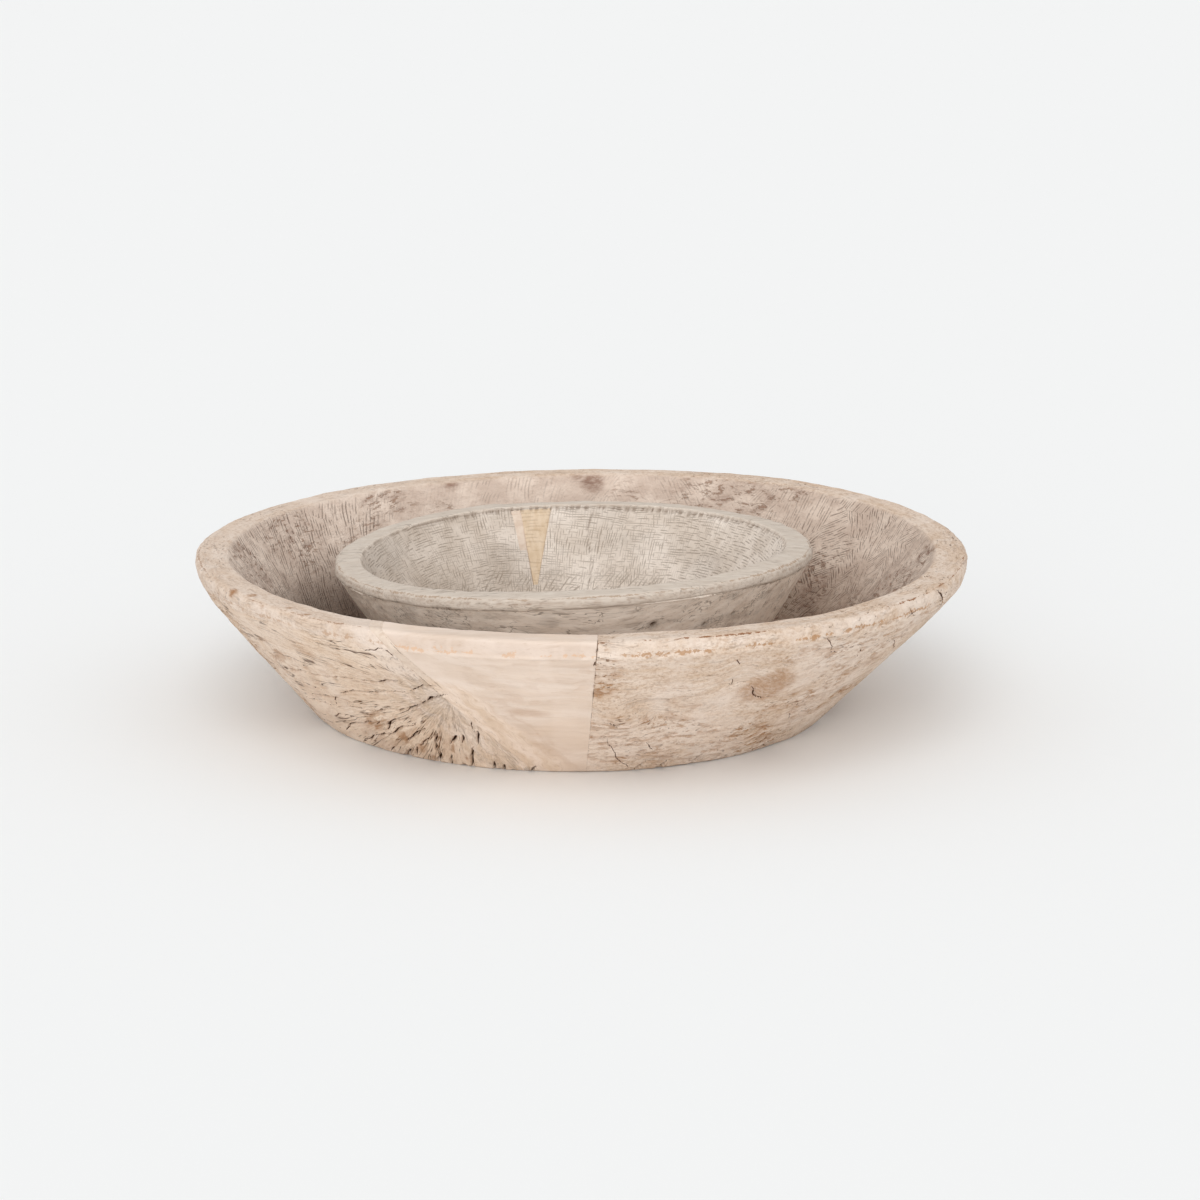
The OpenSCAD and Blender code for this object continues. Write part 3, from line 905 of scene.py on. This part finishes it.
wood = coats(
    patch_pale,
    (fade(long_grain, 0.34, 0.66), patch_grain),
    (fade(blotch, 0.50, 0.68, 0.0, 0.5), patch_blotch),
    (fade(fine_grain, 0.54, 0.74, 0.0, 0.34), patch_fine),
    (times(old, 0.7), patch_old),
    (times(brown, 0.75), patch_brown),
    (times(pale, 0.4), patch_worn),
    (on_band, patch_band_painted_shade, "MULTIPLY"),
    (times(low_line, 0.5), patch_stain),
    (times(inside, fade(height, 0.095, 0.040)), patch_floor_painted_shade),
)
wood = smear_over(tree, wood)
wood = draw_splits(tree, place, wood, patch_split, patch_seam)
complete(patch_finish, wood, 0.78, 0.25, fine_grain, strength=0.25, distance=0.0008)
patch.data.materials.append(patch_finish)
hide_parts("large_bowl_patch")
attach(patch, "large")

# Putty beside the patch
# A strip of pale wood putty, pressed into the open seam on the patch's left and rubbed flush.
# It is narrow at the foot and wider at the rim, and has dried to a chalky white.
putty_columns = (column_number >= putty_column) & (column_number < patch_column)
putty_faces = np.concatenate([
    cell_faces(large_index, cut_rows & putty_columns),
    cut_block(large_index, putty_column, patch_column, cut_low, cut_high),
])
putty = make_piece("large_bowl_putty", large_points, putty_faces, large_looks, most=20000)
putty_tone = (223, 206, 190)
putty_grit = (217, 198, 181)
putty_drag = (194, 168, 147)
# Painted shade on the putty's inside, darker towards the floor.
putty_floor_painted_shade = (160, 140, 126)
putty_split = (84, 64, 50)
putty_finish, tree, place = new_finish("filler")
warped = wavering(place)
grit = fibres(warped, (240.0, 240.0, 240.0), 5.0, 0.65)
drag = fibres(warped, (40.0, 300.0, 300.0), 3.0, 0.6)
inside = axes(carried(tree, "zone"))[0]
chalk = coats(
    putty_tone,
    (fade(grit, 0.40, 0.60), putty_grit),
    (fade(drag, 0.50, 0.66, 0.0, 0.35), putty_drag),
    (times(inside, fade(axes(place)[2], 0.095, 0.040)), putty_floor_painted_shade),
)
chalk = smear_over(tree, chalk)
chalk = draw_splits(tree, place, chalk, putty_split, patch_seam)
complete(putty_finish, chalk, 0.9, 0.15, grit, strength=0.4, distance=0.001)
putty.data.materials.append(putty_finish)
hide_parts("large_bowl_filler")
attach(putty, "large")

# Small bowl
# A second, smaller bowl of the same make, which stands loose on the large bowl's floor. Its rim is
# a little tilted, and its hollow is covered with fine crossed scraper strokes and grey stains.
small_x = -0.008
small_height = 0.091
small_wall_top = 0.082
small_foot_radius = 0.121
small_floor = 0.018
inlay_depth = 0.008
small_section = [
    (0.0, 0.0, 0.0, 0.0),
    (small_foot_radius, 0.0, 0.003, 0.006),
    (0.1703, small_wall_top, 0.0030, 0.0011),
    (0.1715, small_wall_top + 0.0006, 0.0020, 0.0004),
    (0.1715, small_height - 0.0012, 0.0048, 0.0007),
    (0.153, small_height, 0.0035, 0.0009),
    (0.1098, small_floor, 0.030, 0.0010),
    (0.0, small_floor, 0.0, 0.003),
]
small_r, small_h, small_normal, small_run, small_at = half_section(small_section)
small_wall, small_lip, small_band, small_land, small_hollow = small_at[1:6]


def hollow_row(height):
    """Row of the small bowl's section at a height on the way down into its hollow."""
    return int(np.argmin(np.abs(small_h - height) + (small_run <= small_hollow)))


def back_angle(offset):
    """Angle, on the back side, at which each ring of the small bowl meets the given X from its centre."""
    return np.arccos(np.clip(offset / np.maximum(small_r, 0.115), -1.0, 1.0))


wedge_top, wedge_end, sliver_end = (hollow_row(height) for height in (0.0885, 0.035, 0.060))
wedge_down = np.clip((0.087 - small_h) / 0.052, 0.0, 1.0)
wedge_right = back_angle(-0.0175 - 0.00975 * wedge_down)
wedge_left = back_angle(-0.040 + 0.00975 * wedge_down)
sliver_left = back_angle(-0.047 + 0.0125 * wedge_down)
wedge_part = np.linspace(0.0, 1.0, int(24 / coarse), endpoint=False)
sliver_part = np.linspace(0.0, 1.0, int(8 / coarse), endpoint=False)
rest_part = between(0.0, 1.0, lambda part: np.full_like(part, 0.0014), 0.84)
wedge_column = len(wedge_part)
sliver_column = wedge_column + len(sliver_part)
small_angle = np.concatenate([
    wedge_right[:, None] + (wedge_left - wedge_right)[:, None] * wedge_part,
    wedge_left[:, None] + (sliver_left - wedge_left)[:, None] * sliver_part,
    sliver_left[:, None] + (wedge_right + full - sliver_left)[:, None] * rest_part,
], axis=1)
small_places, small_facing = revolve(
    np.broadcast_to(small_r[:, None], small_angle.shape), small_h, small_normal, small_angle, 0.0 * small_h)
x, y, z = np.moveaxis(small_places, 2, 0)
run = small_run[:, None]
degrees = (np.degrees(small_angle) + 180.0) % 360.0 - 180.0
on_wall, on_band, on_land = shares(run, small_wall, small_lip, small_band, small_land, small_hollow)
in_hollow = ease(small_hollow - 0.0005, small_hollow + 0.002, run)
on_foot = ease(small_wall - 0.001, small_wall - 0.003, run)
weather = ease(0.42, 0.62, lumps(small_places, 0.045, 111))
grain = lumps(small_places, (0.045, 0.005, 0.005), 131)
depth = 0.0018 * (lumps(small_places, 0.08, 103, 2) - 0.5)
depth = depth + 0.0012 * (lumps(small_places, 0.022, 105) - 0.5)
depth = depth + on_wall * 0.0009 * (grain - 0.5)
depth = depth + in_hollow * 0.0009 * (lumps(small_places, 0.012, 133, 2) - 0.5)

# Chisel nicks just under the lip, one every five millimetres or so, most of them at the back and right.
nicks_round = 214.0
nick_at = np.degrees(small_angle) / 360.0 * nicks_round + 0.35 * np.sin(small_angle * 31.0)
nick_number = np.floor(nick_at)
nick_long = 0.003 + 0.006 * speckle(nick_number * 1.7, 0.5, 0.5, 141)
nick_middle = nick_number + 0.5 + 0.22 * (speckle(nick_number * 1.3, 0.5, 4.5, 143) - 0.5)
nick_down = run - small_hollow
nick = ease(0.42, 0.18, np.abs(nick_at - nick_middle))
nick = nick * ease(0.25, 0.45, speckle(nick_number * 2.3, 0.5, 8.5, 145))
nick = nick * ease(0.0004, 0.0016, nick_down) * ease(0.0, -0.003, nick_down - nick_long)
nick = nick * ease(-32.0, 2.0, degrees) * ease(150.0, 116.0, degrees)
# An undercut below the land's inner edge, darkened with painted shade.
undercut = ease(0.0, 0.0012, nick_down) * ease(0.0042, 0.0018, nick_down) * ease(-60.0, 60.0, degrees)
undercut = undercut * ease(232.0, 196.0, np.degrees(small_angle) % 360.0)
undercut = undercut * ease(0.30, 0.55, round_rim(small_angle, 22.0, 0.5, 147))
depth = depth - 0.0015 * nick - 0.0006 * undercut
dark = np.maximum(0.48 * nick, (0.26 + 0.16 * (x < -0.04)) * undercut)

# The band: painted shade in a line under it, a worn brown line at its top edge, and a rough surface.
under_band = np.exp(-((run - small_lip - 0.0004) / 0.0012) ** 2)
under_band = under_band * ease(0.34, 0.56, round_rim(small_angle, 24.0, run / 0.02, 151))
over_band = np.exp(-((run - small_land + 0.0020) / 0.0009) ** 2)
over_band = over_band * ease(0.46, 0.58, round_rim(small_angle, 48.0, 0.7, 153))
dark = np.maximum(dark, 0.14 * under_band)
brown = 0.40 * over_band + on_wall * 0.30 * ease(0.52, 0.70, grain) * weather
worn = round_rim(small_angle, 19.2, run / 0.006, 155)
depth = depth - 0.0004 * over_band + 0.0016 * (worn - 0.5) * (on_band + 0.5 * on_land)
grey = on_wall * ease(0.50, 0.70, lumps(small_places, (0.014, 0.014, 0.0055), 157, 5))
grey = grey + in_hollow * 0.8 * ease(0.46, 0.74, lumps(small_places, (0.05, 0.05, 0.02), 159, 4))
# The band and land are painted darker than the wall, as painted shade against the light they catch, and the
# halos round the worm holes below take the same colour.
pale = 0.60 * on_band + 0.55 * on_land

# A worm hole in the front wall, two smaller ones, and one thin split down the inside of the back.
for turn, rise, size in ((-70.0, 0.065, 0.0023), (-55.0, 0.060, 0.0013), (-46.0, 0.064, 0.0013)):
    turn = np.radians(turn)
    out = small_foot_radius + 0.049 * rise / small_wall_top
    gap = np.linalg.norm(small_places - np.array([out * np.cos(turn), out * np.sin(turn), rise]), axis=2)
    depth = depth - 0.003 * ease(size, 0.4 * size, gap) * on_wall
    dark = np.maximum(dark, 0.9 * ease(1.1 * size, 0.6 * size, gap) * on_wall)
    pale = pale + 0.6 * ease(2.4 * size, 1.3 * size, gap) * on_wall
split_x = 0.012 + 0.0016 * np.sin(z * 160.0) + 0.006 * (0.06 - z)
split = ease(0.0009, 0.0002, np.abs(x - split_x)) * in_hollow * (y > 0.06)
split = split * ease(0.30, 0.55, clouds(z / 0.01, 0.5, 0.5, 161, 2))
dark = np.maximum(dark, 0.45 * split)
depth = depth - 0.0004 * split
groove = np.zeros(small_angle.shape[1])
groove[[0, wedge_column]] = 1.0
rows = np.arange(len(small_r))[:, None]
in_wedge = (rows >= wedge_top) & (rows <= wedge_end)
depth = depth * (1.0 - on_foot) - 0.0006 * groove * in_wedge
small_places = small_places + small_facing * depth[..., None]
small_places[..., 2] = np.maximum(small_places[..., 2], 0.0)
tilt = 0.0053 * np.cos(small_angle) - 0.0034 * np.sin(small_angle)
tilt = tilt - 0.0015 * np.cos(2.0 * small_angle) - 0.0015 * np.sin(2.0 * small_angle)
tilt = tilt * ease(0.0, small_height, small_places[..., 2]) * ease(0.05, 0.12, small_r[:, None])
small_places[..., 2] += tilt
small_places = small_places + np.array([small_x, 0.0, large_floor])
sunk_places = small_places - small_facing * inlay_depth
small_points = np.concatenate([grid_points(small_places), grid_points(sunk_places)])
small_looks = {
    "marks": np.stack([dark, np.clip(brown, 0, 1), np.clip(pale, 0, 1)], axis=2),
    "zone": np.stack(np.broadcast_arrays(in_hollow, run, np.clip(grey, 0, 1)), axis=2),
    "split": np.stack(np.broadcast_arrays(9.0 + 0.0 * z, 0.0, 0.0), axis=2),
}
small_looks = {name: np.tile(grid_points(values), (2, 1)) for name, values in small_looks.items()}
small_index = grid_index(*small_angle.shape)
sunk_index = small_index + small_index.max() + 1
small_row = np.arange(len(small_r) - 1)[:, None]
small_column = np.arange(small_angle.shape[1])
wedge_cells = (small_row >= wedge_top) & (small_row < wedge_end) & (small_column < wedge_column)
sliver_cells = (small_row >= wedge_top) & (small_row < sliver_end)
sliver_cells = sliver_cells & (small_column >= wedge_column) & (small_column < sliver_column)


def inlay_sides(cells):
    """Back and side faces of a block let into the small bowl: the cells copied below the surface and turned
    round, and a strip down to them along every edge where a cell has no neighbour in the block."""
    backs = cell_faces(sunk_index, cells)[:, ::-1]
    here = (small_index, sunk_index)
    beside = tuple(np.roll(index, -1, axis=1) for index in here)
    edges = []
    for near, near_row, far, far_row, way, axis in (
        (here, 0, beside, 0, 1, 0), (beside, 1, here, 1, -1, 0),
        (here, 1, here, 0, 1, 1), (beside, 0, beside, 1, -1, 1),
    ):
        kept = cells & ~np.roll(cells, way, axis=axis)
        a, d = (index[near_row:len(index) - 1 + near_row][kept] for index in near)
        b, c = (index[far_row:len(index) - 1 + far_row][kept] for index in far)
        edges.append(np.stack([a, c, b], axis=1))
        edges.append(np.stack([a, d, c], axis=1))
    return np.concatenate([backs] + edges)


inlay_cells = wedge_cells | sliver_cells
small_faces = np.concatenate([cell_faces(small_index, ~inlay_cells), inlay_sides(inlay_cells)[:, ::-1]])
small_bowl = make_piece("small_bowl_wood", small_points, small_faces, small_looks, most=180000)
# The outside's pale colour is partly painted light, kept well lighter than the rim so that the wall in the
# large bowl's shade looks lit.
small_tone_and_painted_light = (249, 238, 225)
small_grain = (238, 224, 209)
small_fine = (180, 158, 138)
small_hair = (108, 92, 78)
small_hollow_tone = (208, 195, 182)
small_hollow_blotch = (229, 218, 207)
left_shade = (240, 238, 236)
small_stroke = (122, 105, 88)
grey_tone = (136, 125, 115)
small_worn_and_painted_shade = (172, 160, 147)
small_worn_fine_and_painted_shade = (150, 135, 122)
small_brown = (140, 106, 80)
lip_stain = (158, 128, 102)
under_band_painted_shade = (112, 88, 66)
# A dark colour for the nicks, worm holes and split, which also paints shade in the undercut and under the
# band.
dark_marks_and_painted_shade = (94, 68, 44)
small_finish, tree, place = new_finish("small_wood")
x_place, height = axes(place)[::2]
warped = wavering(place)
dark, brown, pale = axes(carried(tree, "marks"))
inside, run, grey = axes(carried(tree, "zone"))
long_grain = fibres(warped, (13.0, 140.0, 140.0), 5.0, 0.62)
fine_grain = fibres(warped, (55.0, 850.0, 850.0), 3.0, 0.6)
hairs = hair_lines(warped, (24.0, 300.0, 300.0), (40.0, 90.0, 90.0), 0.030)
blotch = noise(place, 26.0, 5.0, 0.6)
outside = coats(
    small_tone_and_painted_light,
    (fade(long_grain, 0.36, 0.66), small_grain),
    (fade(fine_grain, 0.52, 0.72, 0.0, 0.45), small_fine),
    (times(hairs, 0.62), small_hair),
)
small_reach = 0.14
small_floor_edge = 0.098
strokes_one = hatching(place, run, small_reach, small_floor_edge, -0.12, 0.20, patch=12.0, pitch=0.0020)
strokes_two = hatching(place, run, small_reach, small_floor_edge, 1.40, 1.75, patch=10.0, pitch=0.0020)
strokes_low = hatching(place, run, small_reach, small_floor_edge, 0.50, 1.00, patch=18.0, pitch=0.0032)
patch_one = fade(noise(place, 19.0, 2.0, 0.6), 0.40, 0.60)
strokes_one = times(strokes_one, scaled(patch_one, 0.6, 0.4))
strokes_two = times(strokes_two, scaled(patch_one, -0.6, 1.0))
strokes_low = times(strokes_low, fade(scaled(blotch, 0.03, height), 0.090, 0.070))
strokes = work("MAXIMUM", work("MAXIMUM", strokes_one, strokes_two), strokes_low)
stroke_dark = times(strokes, inside)
hollow = coats(
    small_hollow_tone,
    (fade(blotch, 0.36, 0.66), small_hollow_blotch),
    (fade(x_place, -0.03, -0.11), left_shade, "MULTIPLY"),
    (times(stroke_dark, 0.58), small_stroke),
)
grey_part = times(times(grey, scaled(inside, -0.02, 0.34)), fade(fine_grain, 0.36, 0.58, 0.4, 1.0))
lip_line = rim_line(place, run, small_land + 0.0012, 0.0014, 12.0)
lip_line = work("MAXIMUM", lip_line, rim_line(place, run, small_land + 0.0012, 0.0011, 31.0))
# Painted shade in a ragged line under the band's overhang.
under_line = rim_line(place, run, small_lip + 0.0004, 0.0022, 24.0)
wood = coats(
    outside,
    (inside, hollow),
    (grey_part, grey_tone),
    (pale, blend(fade(fine_grain, 0.4, 0.64), small_worn_and_painted_shade, small_worn_fine_and_painted_shade)),
    (times(brown, fade(fine_grain, 0.25, 0.62, 0.35, 1.0)), small_brown),
    (times(lip_line, 0.6), lip_stain),
    (times(under_line, 0.55), under_band_painted_shade),
    (dark, dark_marks_and_painted_shade),
)
relief = plus(times(long_grain, -0.4), times(fine_grain, -0.4))
relief = work("SUBTRACT", relief, times(stroke_dark, 0.6))
complete(small_finish, wood, 0.82, 0.22, relief, strength=0.5, distance=0.001)
small_bowl.data.materials.append(small_finish)
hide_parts("small_bowl")
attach(small_bowl, "small")

# Wedge
# A long tapered sliver of yellower wood, let into the inside of the small bowl's back wall to close a
# split. It was glued in flush and scraped over with the rest of the hollow.
wedge_faces = np.concatenate([cell_faces(small_index, wedge_cells), inlay_sides(wedge_cells)])
wedge = make_piece("small_bowl_wedge_wood", small_points, wedge_faces, small_looks, most=20000)
wedge_tone = (219, 199, 175)
wedge_grain = (207, 184, 156)
wedge_fine = (196, 166, 128)
wedge_stroke = (150, 124, 96)
# The dark marks carried onto the wedge include painted shade in the undercut.
wedge_dark_and_painted_shade = (96, 72, 50)
wedge_finish, tree, place = new_finish("wedge_wood")
warped = wavering(place)
dark = axes(carried(tree, "marks"))[0]
run = axes(carried(tree, "zone"))[1]
long_grain = fibres(warped, (220.0, 220.0, 16.0), 4.0, 0.55)
fine_grain = fibres(warped, (900.0, 900.0, 60.0), 3.0, 0.6)
stroke_dark = hatching(place, run, small_reach, small_floor_edge, 1.45, 1.65, patch=9.0, pitch=0.0031)
wood = coats(
    wedge_tone,
    (fade(long_grain, 0.36, 0.64), wedge_grain),
    (fade(fine_grain, 0.54, 0.72, 0.0, 0.35), wedge_fine),
    (times(stroke_dark, 0.3), wedge_stroke),
    (times(dark, 0.6), wedge_dark_and_painted_shade),
)
complete(wedge_finish, wood, 0.8, 0.22, fine_grain, strength=0.3, distance=0.0008)
wedge.data.materials.append(wedge_finish)
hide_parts("small_bowl_wedge")
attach(wedge, "small")

# Putty beside the wedge
# A short sliver of the same pale putty as on the large bowl, rubbed into the gap left of the wedge.
# It runs out to nothing half way down.
sliver_faces = np.concatenate([cell_faces(small_index, sliver_cells), inlay_sides(sliver_cells)])
sliver = make_piece("small_bowl_putty", small_points, sliver_faces, small_looks, most=20000)
sliver.data.materials.append(putty_finish)
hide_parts("small_bowl_filler")
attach(sliver, "small")

# Floor
# A plain pale table top that the bowls stand on; it keeps their shadow.
side = 20.0
floor_tone = (241, 242, 242)
floor_corners = [(-side, -side, 0.0), (side, -side, 0.0), (side, side, 0.0), (-side, side, 0.0)]
floor_mesh = bpy.data.meshes.new("floor")
floor_mesh.from_pydata(floor_corners, [], [(0, 1, 2, 3)])
floor = bpy.data.objects.new("floor", floor_mesh)
bpy.context.collection.objects.link(floor)
floor_finish = bpy.data.materials.new("floor_paper")
floor_finish.use_nodes = True
floor_shader = floor_finish.node_tree.nodes["Principled BSDF"]
floor_shader.inputs["Base Color"].default_value = linear(floor_tone)
floor_shader.inputs["Roughness"].default_value = 0.9
floor_shader.inputs["Specular IOR Level"].default_value = 0.1
floor_mesh.materials.append(floor_finish)

# Light
# A soft white room and two broad soft lamps in front, a weak one high up and a stronger one low down, both a
# little to the left.
room_strength = 0.82
lamp_spread = 40.0
world = bpy.data.worlds.new("room")
bpy.context.scene.world = world
world.use_nodes = True
world.node_tree.nodes["Background"].inputs["Color"].default_value = (1.0, 1.0, 1.0, 1.0)
world.node_tree.nodes["Background"].inputs["Strength"].default_value = room_strength
for name, strength, heading in (
    ("high_lamp", 0.45, (0.10, 0.52, -0.85)),
    ("front_lamp", 1.22, (0.10, 0.97, -0.20)),
):
    lamp_data = bpy.data.lights.new(name, "SUN")
    lamp_data.energy = strength
    lamp_data.angle = np.radians(lamp_spread)
    lamp = bpy.data.objects.new(name, lamp_data)
    lamp.rotation_mode = "QUATERNION"
    lamp.rotation_quaternion = Vector(heading).to_track_quat("-Z", "Y")
    bpy.context.collection.objects.link(lamp)

# Camera
# A long lens a little above the rim, in front of the patch. It points a little past the middle of the rim,
# by these shares of the distance.
camera_rise = np.radians(13.04)
camera_away = 2.6
right_share = 0.00429
down_share = 0.01449
aim = Vector((0.0, float(np.cos(camera_rise)), float(-np.sin(camera_rise))))
camera_up = Vector((0.0, float(np.sin(camera_rise)), float(np.cos(camera_rise))))
camera_data = bpy.data.cameras.new("camera")
camera_data.sensor_width = 36.0
camera_data.lens = 108.5
camera = bpy.data.objects.new("camera", camera_data)
camera.location = Vector((0.0, 0.0, large_height)) - aim * camera_away
camera.rotation_mode = "QUATERNION"
heading = aim + Vector((right_share, 0.0, 0.0)) - camera_up * down_share
camera.rotation_quaternion = heading.to_track_quat("-Z", "Y")
bpy.context.collection.objects.link(camera)
bpy.context.scene.camera = camera
bpy.context.scene.view_settings.view_transform = "Standard"
